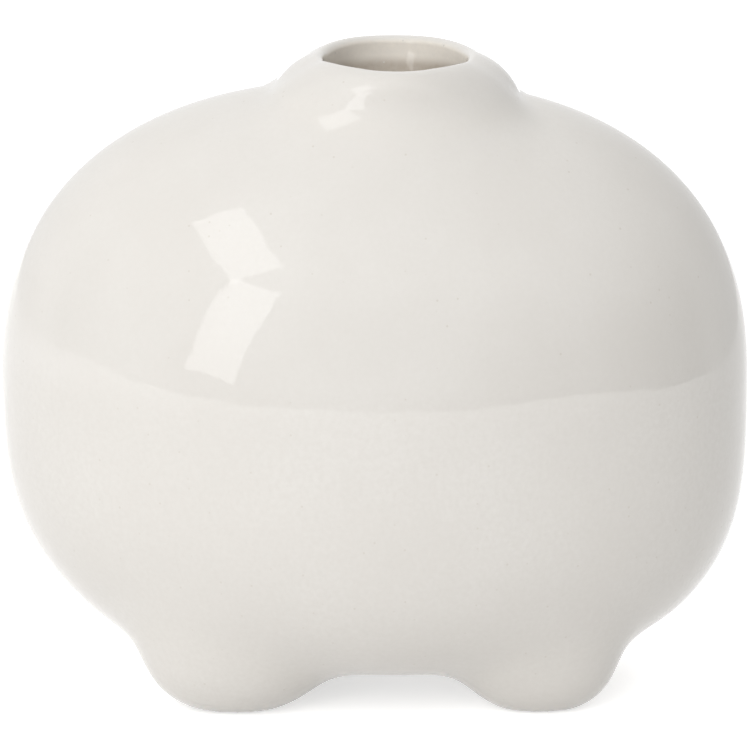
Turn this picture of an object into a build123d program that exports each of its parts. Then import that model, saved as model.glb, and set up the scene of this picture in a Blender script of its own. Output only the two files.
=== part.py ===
from build123d import *

import os
from math import radians, sin

# Hand-built pillow vase on four feet, in millimetres.
# X runs left to right, Y front to back, Z up. The origin is on the table, under the middle of the belly.
# Two clay bowls are luted rim to rim, then a neck and four ball feet are luted on with slip.

# Belly
belly_width = 180.0
belly_depth = 114.0
crown_rise = 73.7  # waist seam up to the top of the closed belly
keel_drop = 67.7  # waist seam down to the underside
crown_exponent = 2.4  # curve of the width above the waist: 2 is an ellipse, more is a fuller pillow
keel_exponent = 2.95  # the same below the waist
crown_depth_exponent = 2.1  # curve of the depth above the waist
keel_depth_exponent = 3.1  # the same below the waist
underside_shift = 4.7  # the underside sits this far to the right of the waist
belly_wall = 5.0

# Neck
neck_x = 4.9  # the neck stands this far to the right of the waist
neck_width = 60.8
neck_depth = 52.0
neck_rise = 7.2  # the lip above the top of the closed belly
neck_round = 15.0
neck_wall = 4.5
mouth_width = 35.0
mouth_depth = 37.0
lip_round = 1.8

# Feet
left_foot_ratio = 0.375  # how far out a foot stands, as a share of the belly's half width
right_foot_ratio = 0.44
foot_depth_ratio = 0.37  # the same, of the half depth
left_foot_radius = 22.2
right_foot_radius = 18.4
foot_oval_ratio = 0.77  # depth of a pressed ball against its width
foot_height_ratio = 0.9  # its height against its width
foot_lift = 7.0  # table to the underside of the belly
sole_radius = 6.0  # half the width of the bare oval ground flat under each foot

# Joints
slip = 0.8  # fired slip left in each luted joint
slip_squeeze = 3.0  # how far the slip comes out round a foot

# The belly is lofted through level ellipses; the steepest ones leave small flat ends.
section_count = 11
end_latitude = 85.0

# Worked-out places and heights above the table
left_foot_x = -left_foot_ratio * belly_width / 2
right_foot_x = right_foot_ratio * belly_width / 2
foot_y = foot_depth_ratio * belly_depth / 2
waist_z = foot_lift + keel_drop
crown_z = waist_z + crown_rise
lip_z = crown_z + neck_rise
neck_root_z = waist_z + crown_rise / 2  # well inside the belly, so the neck runs right into it
foot_root_z = waist_z - keel_drop / 3  # above the tops of the feet, inside the belly


def lame(lift, exponent):
    """How wide a section is, as a share of the widest, where lift is its share of the full rise.
    On a Lame curve width ^ exponent + lift ^ exponent = 1."""
    return (1 - abs(lift) ** exponent) ** (1 / exponent)


def belly(grow):
    """The closed belly, larger all round by grow.
    Ellipses are stacked up the vase, their width and depth on Lame curves."""
    sections = []
    for step in range(section_count):
        lift = sin(radians(end_latitude * (2 * step / (section_count - 1) - 1)))
        full_rise = (crown_rise if lift > 0 else keel_drop) + grow
        width_share = lame(lift, crown_exponent if lift > 0 else keel_exponent)
        depth_share = lame(lift, crown_depth_exponent if lift > 0 else keel_depth_exponent)
        section = Ellipse((belly_width / 2 + grow) * width_share, (belly_depth / 2 + grow) * depth_share)
        shift = underside_shift * min(lift, 0) ** 2
        sections.append(Pos(shift, 0, waist_z + lift * full_rise) * section)
    return loft(sections)


def neck_drum(inset):
    """A short oval drum with a rounded shoulder, smaller all round by inset.
    It stands from inside the belly up to the lip."""
    radius = neck_width / 2 - inset
    height = lip_z - inset - neck_root_z
    drum = Cylinder(radius, height, align=(Align.CENTER, Align.CENTER, Align.MAX))
    drum = fillet(drum.edges().group_by(Axis.Z)[-1], neck_round - inset)
    drum = scale(drum, by=(1, (neck_depth / 2 - inset) / radius, 1))
    return Pos(neck_x, 0, lip_z - inset) * drum


def foot_ball(x, radius, grow):
    """A front ball of clay pressed oval against the belly, wider by grow.
    Its sole is ground flat on the table."""
    centre_z = foot_height_ratio * (radius**2 - sole_radius**2) ** 0.5
    ball = scale(Sphere(radius + grow), by=(1, foot_oval_ratio, foot_height_ratio))
    return split(Pos(x, -foot_y, centre_z) * ball, Plane.XY, keep=Keep.TOP)


# The crown and keel of the belly, as they are and with the slip that lies under the neck and the feet
closed_belly = belly(0)
crown = split(closed_belly, Plane.XY.offset(neck_root_z), keep=Keep.TOP)
slipped_crown = split(belly(slip), Plane.XY.offset(neck_root_z), keep=Keep.TOP)
keel = split(closed_belly, Plane.XY.offset(foot_root_z), keep=Keep.BOTTOM)
slipped_keel = split(belly(slip), Plane.XY.offset(foot_root_z), keep=Keep.BOTTOM)
neck_hollow = neck_drum(neck_wall)

# Two bowls, with the slip seam between their rims
seam_top = Plane.XY.offset(waist_z + slip / 2)
seam_bottom = Plane.XY.offset(waist_z - slip / 2)
belly_shell = closed_belly - belly(-belly_wall)
lower_bowl = split(belly_shell, seam_bottom, keep=Keep.BOTTOM)
upper_bowl = split(belly_shell, seam_top, keep=Keep.TOP) - neck_hollow
waist_slip_seam = split(split(belly_shell, seam_top, keep=Keep.BOTTOM), seam_bottom, keep=Keep.TOP)

# Neck collar: hollow behind its shoulder, with a round-edged mouth
mouth = Pos(neck_x, 0, lip_z) * extrude(Ellipse(mouth_width / 2, mouth_depth / 2), neck_round, both=True)
neck_shell = neck_drum(0) - neck_hollow
neck_slip_seam = (neck_shell & slipped_crown) - crown
neck_ring = neck_shell - slipped_crown
neck_collar = neck_ring - mouth
lip_edges = new_edges(neck_ring, mouth, combined=neck_collar)
neck_collar = fillet(lip_edges, lip_round)

parts = {
    "lower_bowl": lower_bowl,
    "upper_bowl": upper_bowl,
    "waist_slip_seam": waist_slip_seam,
    "neck_collar": neck_collar,
    "neck_slip_seam": neck_slip_seam,
}

# Four feet, the rear ones as the front ones, each on a pad of slip that is squeezed out all round it
foot_pads = []
sides = (("left", left_foot_x, left_foot_radius), ("right", right_foot_x, right_foot_radius))
for side, x, radius in sides:
    foot = foot_ball(x, radius, 0) - slipped_keel
    pad = (foot_ball(x, radius, slip_squeeze) & slipped_keel) - keel
    parts[f"front_{side}_foot"] = foot
    parts[f"rear_{side}_foot"] = mirror(foot, about=Plane.XZ)
    foot_pads += [pad, mirror(pad, about=Plane.XZ)]
parts["foot_slip_seams"] = Compound(children=foot_pads)

os.makedirs("parts", exist_ok=True)
for name, shape in parts.items():
    export_step(shape, f"parts/{name}.step")
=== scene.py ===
import bpy
import numpy as np
from mathutils import Matrix, Vector


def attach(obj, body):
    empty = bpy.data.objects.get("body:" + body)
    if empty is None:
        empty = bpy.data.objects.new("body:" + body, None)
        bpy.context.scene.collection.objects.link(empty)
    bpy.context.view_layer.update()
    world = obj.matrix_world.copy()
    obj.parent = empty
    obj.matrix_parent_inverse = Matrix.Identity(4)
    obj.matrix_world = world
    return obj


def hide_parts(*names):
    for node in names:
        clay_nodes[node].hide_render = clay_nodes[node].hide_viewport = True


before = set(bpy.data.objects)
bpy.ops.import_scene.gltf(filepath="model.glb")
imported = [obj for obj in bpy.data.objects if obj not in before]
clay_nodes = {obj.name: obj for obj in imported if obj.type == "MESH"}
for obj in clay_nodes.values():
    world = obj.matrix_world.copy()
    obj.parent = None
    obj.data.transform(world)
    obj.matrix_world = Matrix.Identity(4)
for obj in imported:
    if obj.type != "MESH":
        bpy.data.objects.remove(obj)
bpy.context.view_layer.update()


# The clay body. Two pressed bowls, a neck collar and four ball feet, all of pale buff stoneware with grog.
# The clay is biscuit-fired before it is glazed, and stays bare only on the ground soles of the feet.
clay_pale = (0.70, 0.60, 0.47, 1)
clay_warm = (0.58, 0.47, 0.35, 1)
grog_colour = (0.36, 0.27, 0.19, 1)
clay_roughness = 0.9
clay_clouds_per_metre = 55.0
grog_per_metre = 900.0
grain_per_metre = 700.0
grain_height = 0.0003
grain_strength = 0.5


def shader_node(tree, kind, settings={}, inputs={}):
    """Adds a node, sets its settings, and gives each input a value or a link from another node's output."""
    made = tree.nodes.new(kind)
    for name, value in settings.items():
        setattr(made, name, value)
    for name, value in inputs.items():
        if isinstance(value, bpy.types.NodeSocket):
            tree.links.new(value, made.inputs[name])
        else:
            made.inputs[name].default_value = value
    return made


def blended(tree, share, first, second):
    """A colour that goes from first to second as share goes from 0 to 1."""
    mix = tree.nodes.new("ShaderNodeMix")
    mix.data_type = "RGBA"
    for socket, value in ((mix.inputs[0], share), (mix.inputs[6], first), (mix.inputs[7], second)):
        if isinstance(value, bpy.types.NodeSocket):
            tree.links.new(value, socket)
        else:
            socket.default_value = value
    return mix.outputs[2]


def stepped(tree, value, low, high):
    """0 where value is at low and 1 where it is at high, smooth between and flat beyond."""
    settings = {"interpolation_type": "SMOOTHSTEP"}
    inputs = {"Value": value, "From Min": low, "From Max": high}
    return shader_node(tree, "ShaderNodeMapRange", settings, inputs).outputs["Result"]


def noise(tree, place, scale, detail=3.0):
    """Cloudy noise from 0 to 1 at that many lumps to the metre."""
    inputs = {"Vector": place, "Scale": scale, "Detail": detail}
    return shader_node(tree, "ShaderNodeTexNoise", inputs=inputs).outputs["Fac"]


def raised(tree, relief, strength, distance, under=None):
    """Normals of a fine relief, which runs from 0 to 1 times distance and may lie over another relief."""
    inputs = {"Height": relief, "Strength": strength, "Distance": distance}
    if under is not None:
        inputs["Normal"] = under
    return shader_node(tree, "ShaderNodeBump", inputs=inputs).outputs["Normal"]


def new_finish(name):
    """An empty material, its node tree, its surface shader and its object coordinates."""
    material = bpy.data.materials.new(name)
    material.use_nodes = True
    tree = material.node_tree
    place = tree.nodes.new("ShaderNodeTexCoord").outputs["Object"]
    return material, tree, tree.nodes["Principled BSDF"], place


def give_finish(names, finish):
    """Puts one finish on each of the named clay pieces."""
    for name in names:
        clay_nodes[name].data.materials.clear()
        clay_nodes[name].data.materials.append(finish)


biscuit_clay, tree, surface, place = new_finish("biscuit_clay")
clouds = stepped(tree, noise(tree, place, clay_clouds_per_metre, 4.0), 0.35, 0.65)
grog = stepped(tree, noise(tree, place, grog_per_metre), 0.66, 0.72)
body_colour = blended(tree, clouds, clay_pale, clay_warm)
tree.links.new(blended(tree, grog, body_colour, grog_colour), surface.inputs["Base Color"])
grain = raised(tree, noise(tree, place, grain_per_metre), grain_strength, grain_height)
tree.links.new(grain, surface.inputs["Normal"])
surface.inputs["Roughness"].default_value = clay_roughness
give_finish(("lower_bowl", "upper_bowl", "neck_collar"), biscuit_clay)
give_finish(("front_left_foot", "front_right_foot", "rear_left_foot", "rear_right_foot"), biscuit_clay)


# The slip joints. Thin clay slip between the rims of the bowls, under the collar and on each foot.
# Slip is the same clay sieved and let down with water, so it fires paler and finer than the body.
slip_pale = (0.76, 0.69, 0.57, 1)
slip_warm = (0.68, 0.59, 0.46, 1)
slip_roughness = 0.8
streaks_per_metre = 140.0
brush_marks_per_metre = 1400.0
brush_mark_height = 0.0001
brush_mark_strength = 0.3

fired_slip, tree, surface, place = new_finish("fired_slip")
streaks = stepped(tree, noise(tree, place, streaks_per_metre, 2.0), 0.3, 0.7)
tree.links.new(blended(tree, streaks, slip_pale, slip_warm), surface.inputs["Base Color"])
brushed = raised(tree, noise(tree, place, brush_marks_per_metre), brush_mark_strength, brush_mark_height)
tree.links.new(brushed, surface.inputs["Normal"])
surface.inputs["Roughness"].default_value = slip_roughness
give_finish(("waist_slip_seam", "neck_slip_seam", "foot_slip_seams"), fired_slip)


# The glaze. One warm white gloss coat over the whole vase, outside, over the lip and down the inside.
# The vase is dipped and the soles are wiped, so the coat stops just above the table on each foot.
coat = 0.0004
wiped_height = 0.0004

belly_half_width = 0.0900
belly_half_depth = 0.0570
waist_z = 0.0747
crown_rise = 0.0737
keel_drop = 0.0677
crown_exponent = 2.4
keel_exponent = 2.95
crown_depth_exponent = 2.1
keel_depth_exponent = 3.1
underside_shift = 0.0047
belly_wall = 0.0050
swells = (  # x, z, spread and rise of each uneven place
    (-0.064, 0.016, 0.009, 0.0013),
    (0.069, 0.016, 0.009, 0.0006),
)

neck_x = 0.0049
neck_half_width = 0.0304
neck_half_depth = 0.0282
neck_rise = 0.0070
neck_round = 0.0150
face_round = 0.0028
least_round = 0.001
throat_wall = 0.0100
left_crease = 0.0020
right_crease = 0.0010
face_crease = 0.0200
lip_z = waist_z + crown_rise + neck_rise
front_dip = 0.0017
mouth_half_width = 0.0175
mouth_half_depth = 0.0185
lip_half_depth = 0.0225
lip_width = 0.0020
lip_drop = 0.0017
lip_outer_pull = 0.6
lip_inner_pull = 0.8
throat_drop = 0.0055
ledge_width = 0.0020

foot_oval_ratio = 0.77
foot_exponent = 2.4
foot_height_ratio = 0.9
sole_radius = 0.0060
foot_flare = 0.0135
foot_face_flare = 0.0060
feet = (  # x, y and radius of each pressed ball
    (-0.03375, -0.02109, 0.0222),
    (-0.03375, 0.02109, 0.0222),
    (0.0396, -0.02109, 0.0184),
    (0.0396, 0.02109, 0.0184),
)

around_count = 300
belly_rows = 150
neck_rows = 70
lip_rows = 12
inside_rows = 50
throat_rows = 20
gather_angle = 1.9  # from straight down, where the rows start to gather towards the neck
shoulder_angle = 2.45  # from straight down, where the rows come closer together
nearest_skin = 0.02
furthest_skin = 0.13
halvings = 40
least_slant = 0.3
tiny = 1e-9

heart = np.array([0.0, 0.0, waist_z])
around = np.linspace(0, 2 * np.pi, around_count, endpoint=False)


def lame(lift, exponent):
    """Width share w at height share h on a Lame curve: w to the exponent plus h to the exponent is 1."""
    return (1 - np.clip(lift, 0, 0.99999) ** exponent) ** (1 / exponent)


def beyond_belly(points, grow):
    """Above zero outside the belly grown by that much. At each height the section is an ellipse, its half
    width and half depth on Lame curves; the value is the point's squared share of that ellipse, less one."""
    x, y, z = np.moveaxis(points, -1, 0)
    above = z > waist_z
    lift = np.abs(z - waist_z) / (np.where(above, crown_rise, keel_drop) + grow)
    width_exponent = np.where(above, crown_exponent, keel_exponent)
    depth_exponent = np.where(above, crown_depth_exponent, keel_depth_exponent)
    half_width = (belly_half_width + grow) * lame(lift, width_exponent)
    half_depth = (belly_half_depth + grow) * lame(lift, depth_exponent)
    shift = np.where(above, 0, underside_shift * np.minimum(lift, 1) ** 2)
    share = ((x - shift) / half_width) ** 2 + (y / half_depth) ** 2 - 1
    return np.where(lift < 1, share, 1)


def neck_bearing(points):
    """Which way a point lies from the middle of the neck, as shares to the right and to the back."""
    x, y = points[..., 0] - neck_x, points[..., 1]
    reach = np.hypot(x, y) + tiny
    return x / reach, y / reach


def neck_distance(points, inset):
    """Distance from an oval drum with a rounded shoulder. Depth is stretched to the width, so that the
    drum is round; then it is the distance from a square corner drawn in by the rounding, less the rounding.
    The rounding is tighter at front and back, by the fourth power of the share that way, and the top dips
    to the front, by the cube of how far round the point lies."""
    x, y, z = np.moveaxis(points, -1, 0)
    back = neck_bearing(points)[1]
    front = ((1 - back) / 2) ** 3
    radius = neck_half_width - inset
    rounding = np.maximum(neck_round + (face_round - neck_round) * back**4 - inset, least_round)
    across = np.hypot(x - neck_x, y * radius / (neck_half_depth - inset)) - radius + rounding
    over = z - lip_z + front_dip * front + inset + rounding
    corner = np.hypot(np.maximum(across, 0), np.maximum(over, 0)) + np.minimum(np.maximum(across, over), 0)
    return np.maximum(corner - rounding, waist_z - z)


def neck_crease(points):
    """How far the clay is smoothed over at the foot of the neck: least at the right and left ends, and
    more to the front and back by one less the eighth power of the share to the side."""
    right = neck_bearing(points)[0]
    return right_crease + (left_crease - right_crease) * (1 - right) / 2 + face_crease * (1 - right**8)


def swelling(points):
    """How far the belly stands out in its uneven places: the sum of a bell about each place, its rise times
    e to the minus squared distance over twice the squared spread."""
    x, _, z = np.moveaxis(points, -1, 0)
    total = 0
    for swell_x, swell_z, spread, rise in swells:
        total = total + rise * np.exp(-((x - swell_x) ** 2 + (z - swell_z) ** 2) / (2 * spread**2))
    return total


def foot_distance(points, x, y, radius):
    """Distance from a pressed ball, a little squarer than an ellipsoid. Its share is the root of the summed
    powers of the scaled coordinates; the distance is that share less one, over the length of its slope."""
    height = radius * foot_height_ratio
    centre_z = foot_height_ratio * (radius**2 - sole_radius**2) ** 0.5
    half = np.array([radius, radius * foot_oval_ratio, height]) + coat
    scaled = np.abs(points - (x, y, centre_z)) / half
    share = (scaled**foot_exponent).sum(axis=-1) ** (1 / foot_exponent) + tiny
    slope = np.linalg.norm((scaled / share[..., None]) ** (foot_exponent - 1) / half, axis=-1)
    return (share - 1) / slope


def foot_crease(points, x, y):
    """How far the clay is smoothed over round a foot: more on its outer face, by the square of the share
    that the point lies that way."""
    aside, ahead = points[..., 0] - x, (points[..., 1] - y) * np.sign(y)
    return foot_flare + foot_face_flare * np.maximum(ahead / (np.hypot(aside, ahead) + tiny), 0) ** 2


def luted(first, second, reach):
    """Two distances joined into one skin: the lesser of them, less a sixth of reach times the cube of how
    close they are, so that the clay is smoothed over where they meet. Returns that and the cube."""
    closeness = np.maximum(reach - np.abs(first - second), 0) / reach
    return np.minimum(first, second) - closeness**3 * reach / 6, closeness**3


def ray_lengths(rays, beyond):
    """How far each ray from the heart runs until it is beyond a form, by halving the stretch that holds
    the skin."""
    near = np.full(rays.shape[:-1], nearest_skin)
    far = np.full(rays.shape[:-1], furthest_skin)
    for _ in range(halvings):
        middle = (near + far) / 2
        out = beyond(heart + middle[..., None] * rays) > 0
        near = np.where(out, near, middle)
        far = np.where(out, middle, far)
    return near[..., None]


def rays_to_rim(row_angles, rim_half_width, rim_half_depth, rim_z):
    """Rays from the heart through a stack of ellipses. Their half width goes with the sine of the row's
    angle from straight down; towards the last row they pass over to the rim's centre, shape and height."""
    angle = row_angles[:, None]
    climb = np.clip((angle - gather_angle) / (row_angles.max() - gather_angle), 0, 1)
    climb = climb**2 * (3 - 2 * climb)
    half_width = rim_half_width * np.sin(angle) / np.sin(row_angles.max())
    rim_ratio = rim_half_depth / rim_half_width
    belly_ratio = belly_half_depth / belly_half_width
    half_depth = half_width * (belly_ratio + (rim_ratio - belly_ratio) * climb)
    rise = (rim_z - waist_z) * np.cos(angle) / np.cos(row_angles.max())
    across = neck_x * climb + half_width * np.cos(around)
    aims = np.stack((across, half_depth * np.sin(around), rise + 0 * around), axis=-1)
    return aims / np.linalg.norm(aims, axis=-1, keepdims=True)


def row_angles_to(rim_half_width, low_rows, high_rows):
    """Angles from straight down to the rim, with rows closer together from the shoulder up."""
    rim_angle = np.pi - np.arcsin(rim_half_width / belly_half_width)
    low = np.linspace(0, shoulder_angle, low_rows, endpoint=False)[1:]
    return np.concatenate((low, np.linspace(shoulder_angle, rim_angle, high_rows)))


def skin(rays, grow, inset, on_feet):
    """Points where the rays leave the belly grown by that much, luted to the neck drum and, outside,
    to the feet. Distance from the belly is taken along the ray, times the cosine of its slant to the skin.
    Returns the points, and how close the luted pieces are there: this marks the creases where glaze pools, and
    where the finish paints shade."""
    belly_lengths = ray_lengths(rays, lambda points: beyond_belly(points, grow))
    belly = heart + belly_lengths * rays
    normals = np.cross(np.gradient(belly, axis=1), np.gradient(belly, axis=0))
    normals /= np.linalg.norm(normals, axis=-1, keepdims=True) + 1e-12
    slant = np.clip(np.abs((normals * rays).sum(axis=-1)), least_slant, 1)

    def luted_distance(points):
        """Distance from the whole luted form, and how close its pieces are there."""
        lengths = np.linalg.norm(points - heart, axis=-1)
        distance = (lengths - belly_lengths[..., 0]) * slant
        distance, pool_and_crease_shade = luted(distance, neck_distance(points, inset), neck_crease(points))
        if on_feet:
            distance = distance - swelling(points)
            for x, y, radius in feet:
                foot = foot_distance(points, x, y, radius)
                distance, foot_pool_and_shade = luted(distance, foot, foot_crease(points, x, y))
                pool_and_crease_shade = np.maximum(pool_and_crease_shade, foot_pool_and_shade)
            distance = np.maximum(distance, wiped_height - points[..., 2])
        return distance, pool_and_crease_shade

    points = heart + ray_lengths(rays, lambda points: luted_distance(points)[0]) * rays
    return points, luted_distance(points)[1]


def bridged(start, start_pull, end_pull, end, steps):
    """Rows of a cubic Bezier curve from start to end, drawn towards the two pulls, without its end rows."""
    t = np.linspace(0, 1, steps + 2)[1:-1, None, None]
    return (
        (1 - t) ** 3 * start + 3 * (1 - t) ** 2 * t * start_pull + 3 * (1 - t) * t**2 * end_pull + t**3 * end
    )


def onward(row, row_before):
    """Unit steps by which a surface runs on past its last row: the last row less the one before it."""
    run = row - row_before
    return run / np.linalg.norm(run, axis=-1, keepdims=True)


def closed_mesh(name, rows, first_pole, last_pole):
    """A closed mesh of quads between rows of points, joined round, with a fan of triangles to each pole."""
    row_count, column_count = rows.shape[:2]
    index = np.arange(row_count * column_count).reshape(row_count, column_count)
    beside = np.roll(index, -1, axis=1)
    quads = np.stack((index[:-1], beside[:-1], beside[1:], index[1:]), axis=-1).reshape(-1, 4)
    first, last = index.size, index.size + 1
    first_fan = np.stack((np.full(column_count, first), beside[0], index[0]), axis=-1)
    last_fan = np.stack((np.full(column_count, last), index[-1], beside[-1]), axis=-1)
    mesh = bpy.data.meshes.new(name)
    points = np.concatenate((rows.reshape(-1, 3), (first_pole, last_pole)))
    mesh.from_pydata(points.tolist(), [], quads.tolist() + first_fan.tolist() + last_fan.tolist())
    mesh.shade_smooth()
    return mesh


# Outside, from the middle of the underside to the outer edge of the lip
rim_half_width = mouth_half_width + lip_width
outer_angles = row_angles_to(rim_half_width, belly_rows, neck_rows)
outer_rays = rays_to_rim(outer_angles, rim_half_width, lip_half_depth + lip_width, lip_z)
outer_rows, outer_pool_and_shade = skin(outer_rays, coat, -coat, True)

# Inside, from the ledge under the lip down to the middle of the floor of the vase
ledge_half_width = mouth_half_width + ledge_width
ledge_half_depth = mouth_half_depth + ledge_width
inner_angles = row_angles_to(ledge_half_width, inside_rows, throat_rows)
inner_rays = rays_to_rim(inner_angles, ledge_half_width, ledge_half_depth, lip_z - throat_wall)
inner_rows, inner_pool_and_shade = skin(inner_rays, -belly_wall - coat, throat_wall, False)
inner_rows = inner_rows[::-1]
inner_pool_and_shade = inner_pool_and_shade[::-1]

# Over the lip, and down the mouth to the ledge
up = np.array([0.0, 0.0, 1.0])
lip_outer = outer_rows[-1]
mouth_wall = np.stack(
    (
        neck_x + (mouth_half_width - coat) * np.cos(around),
        (lip_half_depth - coat) * np.sin(around),
        lip_outer[:, 2] - lip_drop,
    ),
    axis=-1,
)
outer_pull = lip_outer + lip_outer_pull * lip_width * onward(lip_outer, outer_rows[-2])
inner_pull = mouth_wall + lip_inner_pull * lip_drop * up
lip_over = bridged(lip_outer, outer_pull, inner_pull, mouth_wall, lip_rows)
ledge = inner_rows[0]
ledge_pull = ledge + ledge_width * onward(ledge, inner_rows[1])
lip_under = bridged(mouth_wall, mouth_wall - throat_drop * up, ledge_pull, ledge, lip_rows)

coat_rows = np.concatenate((outer_rows, lip_over, mouth_wall[None], lip_under, inner_rows))
underside_pole = outer_rows[0].mean(axis=0)
floor_pole = inner_rows[-1].mean(axis=0)
glaze_mesh = closed_mesh("glaze_coat", coat_rows, underside_pole, floor_pole)
glaze_coat = bpy.data.objects.new("glaze_coat", glaze_mesh)
bpy.context.collection.objects.link(glaze_coat)

# Where the wet glaze drew off the lip and where it ran together in the creases, kept on the points for the
# finish, which paints the creases darker as shade
outer_count = len(outer_rows)
inner_count = 1 + lip_rows + len(inner_rows)
over_lip = np.linspace(0, 1, lip_rows)
lip_share = np.concatenate((np.zeros(outer_count), over_lip, np.zeros(inner_count)))
thin = np.sin(np.pi * lip_share)[:, None] * (1 - np.sin(around)) / 2
pool_and_crease_shade = np.concatenate((outer_pool_and_shade, np.zeros((2 * lip_rows + 1, around_count)), inner_pool_and_shade))
inside = np.concatenate((np.zeros(outer_count), over_lip, np.ones(inner_count)))
inside = np.repeat(inside[:, None], around_count, axis=1)
for name, values in (("thin", thin), ("pool_and_crease_shade", pool_and_crease_shade), ("inside", inside)):
    layer = glaze_mesh.attributes.new(name, "FLOAT", "POINT")
    layer.data.foreach_set("value", np.concatenate((values.ravel(), (0.0, 0.0))))

glaze_white = (0.80, 0.775, 0.735, 1)
glaze_cream = (0.77, 0.742, 0.70, 1)
# glaze where it pools in the creases, painted darker as the shade that falls there
glaze_pool_and_shade = (0.785, 0.758, 0.713, 1)
# the inside of the mouth: painted light, lighter and warmer than the outside glaze near the lip, and painted
# shade, dark brown deeper down the neck
inside_bounce_light = (0.93, 0.87, 0.78, 1)
inside_deep_shade = (0.48, 0.41, 0.33, 1)
lip_peach = (0.77, 0.68, 0.58, 1)
glaze_fleck = (0.73, 0.70, 0.655, 1)
pinhole_brown = (0.70, 0.665, 0.61, 1)
glaze_roughness = 0.04
glaze_ior = 1.5
deep_top_z = 0.1520
deep_full_z = 0.1490
fleck_top_z = 0.088
fleck_full_z = 0.078
fleck_least = 0.45
glaze_clouds_per_metre = 32.0
flecks_per_metre = 850.0
pinholes_per_metre = 420.0
ripples_per_metre = 75.0
ripple_height = 0.0001
peel_per_metre = 520.0
peel_height = 0.00001


def kept(tree, name):
    """A value that the mesh keeps on its points under that name."""
    return shader_node(tree, "ShaderNodeAttribute", {"attribute_name": name}).outputs["Fac"]


def combined(tree, operation, first, second):
    """Two values made into one: their product for MULTIPLY, the larger of them for MAXIMUM."""
    inputs = {0: first, 1: second}
    return shader_node(tree, "ShaderNodeMath", {"operation": operation}, inputs).outputs["Value"]


gloss_glaze, tree, surface, place = new_finish("gloss_glaze")
height = shader_node(tree, "ShaderNodeSeparateXYZ", inputs={"Vector": place}).outputs["Z"]
clouds = stepped(tree, noise(tree, place, glaze_clouds_per_metre, 5.0), 0.3, 0.7)
glaze_colour = blended(tree, clouds, glaze_white, glaze_cream)
# Painted shade: the glaze is darker in the creases round the neck and feet, where it also pools
glaze_colour = blended(tree, stepped(tree, kept(tree, "pool_and_crease_shade"), 0.3, 1.0), glaze_colour, glaze_pool_and_shade)
# Inside the mouth: painted light near the lip and painted shade lower down, darker and browner with depth
inside_light_and_shade = blended(tree, stepped(tree, height, deep_top_z, deep_full_z), inside_bounce_light, inside_deep_shade)
glaze_colour = blended(tree, stepped(tree, kept(tree, "inside"), 0.5, 1.0), glaze_colour, inside_light_and_shade)
glaze_colour = blended(tree, stepped(tree, kept(tree, "thin"), 0.75, 1.0), glaze_colour, lip_peach)

# Fine flecks, fewer above the waist, and sparse pinholes
fleck_range = {"Value": stepped(tree, height, fleck_top_z, fleck_full_z), "To Min": fleck_least, "To Max": 1.0}
low_coat = shader_node(tree, "ShaderNodeMapRange", inputs=fleck_range).outputs["Result"]
fleck = combined(tree, "MULTIPLY", noise(tree, place, flecks_per_metre, 2.0), low_coat)
glaze_colour = blended(tree, fleck, glaze_colour, glaze_fleck)
holes = shader_node(tree, "ShaderNodeTexVoronoi", inputs={"Vector": place, "Scale": pinholes_per_metre}).outputs
hole_pick = shader_node(tree, "ShaderNodeSeparateColor", inputs={"Color": holes["Color"]}).outputs["Red"]
hole_size = stepped(tree, holes["Distance"], 0.16, 0.06)
hole = combined(tree, "MULTIPLY", hole_size, stepped(tree, hole_pick, 0.78, 0.90))
tree.links.new(blended(tree, hole, glaze_colour, pinhole_brown), surface.inputs["Base Color"])

ripple = raised(tree, noise(tree, place, ripples_per_metre, 2.0), 1.0, ripple_height)
peel = raised(tree, noise(tree, place, peel_per_metre, 2.0), 1.0, peel_height, ripple)
tree.links.new(peel, surface.inputs["Normal"])
surface.inputs["Roughness"].default_value = glaze_roughness
surface.inputs["IOR"].default_value = glaze_ior
glaze_mesh.materials.append(gloss_glaze)
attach(glaze_coat, "root")
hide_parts("neck_collar")


# The table. A wide plain white top that the vase stands on, bright enough to meet the white backdrop.
# Its front edge is most of a metre off, and shows as a soft level line in the gloss of the belly.
table_corners = ((-3.0, -0.80, 0), (0.62, -0.63, 0), (0.62, 3.0, 0), (-3.0, 3.0, 0))
table_white = (0.84, 0.84, 0.84, 1)
table_pale = (0.82, 0.82, 0.82, 1)
table_roughness = 0.7
table_glow = 0.60
table_clouds_per_metre = 12.0

table_mesh = bpy.data.meshes.new("table_top")
table_mesh.from_pydata(table_corners, [], [range(len(table_corners))])
table_top = bpy.data.objects.new("table_top", table_mesh)
bpy.context.collection.objects.link(table_top)


def seen_share(tree):
    """1 for a ray from the camera, a gloss or a glass, and 0 for a ray that only lights the vase."""
    path = tree.nodes.new("ShaderNodeLightPath").outputs
    glossy = combined(tree, "MAXIMUM", path["Is Camera Ray"], path["Is Glossy Ray"])
    return combined(tree, "MAXIMUM", glossy, path["Is Transmission Ray"])


white_top, tree, surface, place = new_finish("white_top")
clouds = stepped(tree, noise(tree, place, table_clouds_per_metre, 2.0), 0.2, 0.8)
tree.links.new(blended(tree, clouds, table_white, table_pale), surface.inputs["Base Color"])
surface.inputs["Roughness"].default_value = table_roughness
surface.inputs["Specular IOR Level"].default_value = 0.0
surface.inputs["Emission Color"].default_value = (1, 1, 1, 1)
glow = combined(tree, "MULTIPLY", seen_share(tree), table_glow)
tree.links.new(glow, surface.inputs["Emission Strength"])
table_mesh.materials.append(white_top)


# The light. A pale room, brighter overhead and dim low down at the right, with a white backdrop.
# Two long softboxes stand high and low at the left, and two broad fills light the front and the back.
ceiling_light = 0.75
wall_light = 0.35
ground_light = 0.50
dim_light = 0.08
white = (1, 1, 1, 1)


def facing(azimuth, elevation):
    """Direction from the vase: azimuth in degrees to the right of the front, elevation above the table."""
    azimuth, elevation = np.radians((azimuth, elevation))
    level = np.cos(elevation)
    return Vector((np.sin(azimuth) * level, -np.cos(azimuth) * level, np.sin(elevation)))


def grey(level):
    """A plain grey of that brightness."""
    return (level, level, level, 1)


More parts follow.
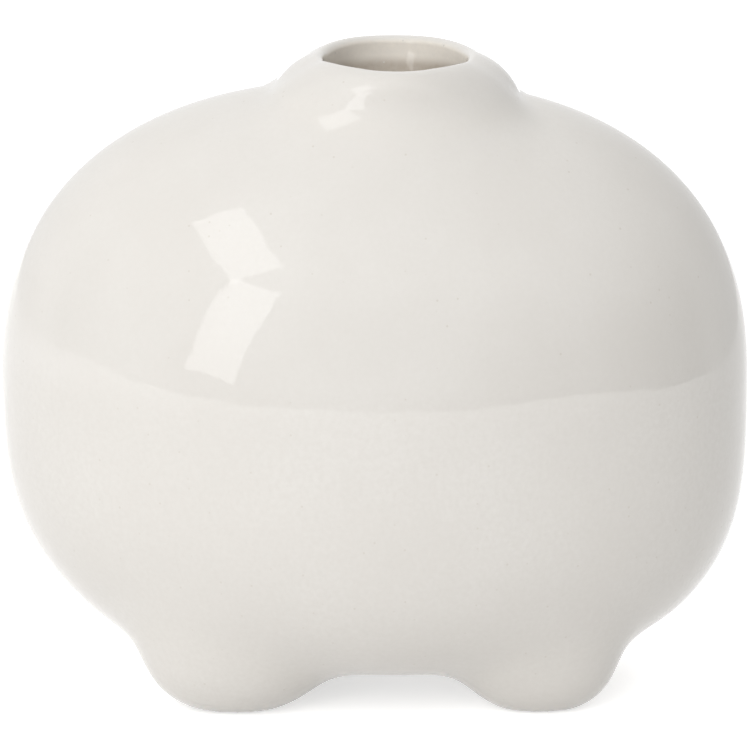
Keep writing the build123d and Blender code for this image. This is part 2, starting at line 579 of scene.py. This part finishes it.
world = bpy.data.worlds.new("pale_room")
bpy.context.scene.world = world
world.use_nodes = True
tree = world.node_tree
way = tree.nodes.new("ShaderNodeTexCoord").outputs["Generated"]
ways = shader_node(tree, "ShaderNodeSeparateXYZ", inputs={"Vector": way}).outputs
room = blended(tree, stepped(tree, ways["Z"], -0.02, 0.02), grey(ground_light), grey(wall_light))
room = blended(tree, stepped(tree, ways["Z"], 0.2, 0.6), room, grey(ceiling_light))
to_right = stepped(tree, ways["X"], 0.1, 0.5)
dim_way = combined(tree, "MULTIPLY", to_right, stepped(tree, ways["Z"], 0.35, 0.05))
room = blended(tree, dim_way, room, grey(dim_light))
backdrop = combined(tree, "MULTIPLY", seen_share(tree), stepped(tree, ways["Y"], -0.1, 0.3))
camera_share = tree.nodes.new("ShaderNodeLightPath").outputs["Is Camera Ray"]
backdrop = combined(tree, "MAXIMUM", backdrop, camera_share)
background = tree.nodes["Background"].inputs
tree.links.new(blended(tree, backdrop, room, white), background["Color"])
background["Strength"].default_value = 1.0


def softbox(name, top, bottom, width, distance, radiance, in_gloss=True):
    """A flat lamp that faces the vase, its long middle line between two directions, its width in metres.
    Its energy is its radiance times pi times its area."""
    aim = Vector((0, 0, waist_z))
    top_end = aim + distance * facing(*top)
    bottom_end = aim + distance * facing(*bottom)
    middle = (top_end + bottom_end) / 2
    back = (middle - aim).normalized()
    long_way = (top_end - bottom_end).normalized()
    long_way = (long_way - long_way.dot(back) * back).normalized()
    lamp = bpy.data.lights.new(name, "AREA")
    lamp.shape = "RECTANGLE"
    lamp.size = width
    lamp.size_y = (top_end - bottom_end).length
    lamp.energy = radiance * np.pi * lamp.size * lamp.size_y
    box = bpy.data.objects.new(name, lamp)
    turn = Matrix((long_way.cross(back), long_way, back)).transposed()
    box.matrix_world = Matrix.Translation(middle) @ turn.to_4x4()
    box.visible_glossy = in_gloss
    bpy.context.collection.objects.link(box)


softbox("high_softbox", top=(-52, 51), bottom=(-28, 32), width=0.25, distance=1.2, radiance=1.75)
softbox("low_softbox", top=(-27, 28.5), bottom=(-35, 0.5), width=0.26, distance=1.2, radiance=2.0)
for name, azimuth, high, low in (("front_fill", -22, 50, 5), ("back_fill", 190, 32, -1)):
    softbox(name, (azimuth, high), (azimuth, low), width=1.2, distance=2.0, radiance=2.3, in_gloss=False)


# The camera. A long lens a metre off, a little above the vase and square to its front.
# Its frame is hardly wider than the vase.
camera_distance = 1.0
camera_elevation = 13.0
camera_aim = Vector((0, 0, 0.0766))
frame_width = 0.1821
sensor_width = 36.0

lens = bpy.data.cameras.new("camera")
lens.sensor_width = sensor_width
lens.lens = sensor_width * camera_distance / frame_width
camera = bpy.data.objects.new("camera", lens)
camera.location = camera_aim + camera_distance * facing(0, camera_elevation)
camera.rotation_euler = (camera.location - camera_aim).to_track_quat("Z", "Y").to_euler()
bpy.context.collection.objects.link(camera)
bpy.context.scene.camera = camera
bpy.context.scene.view_settings.view_transform = "Standard"
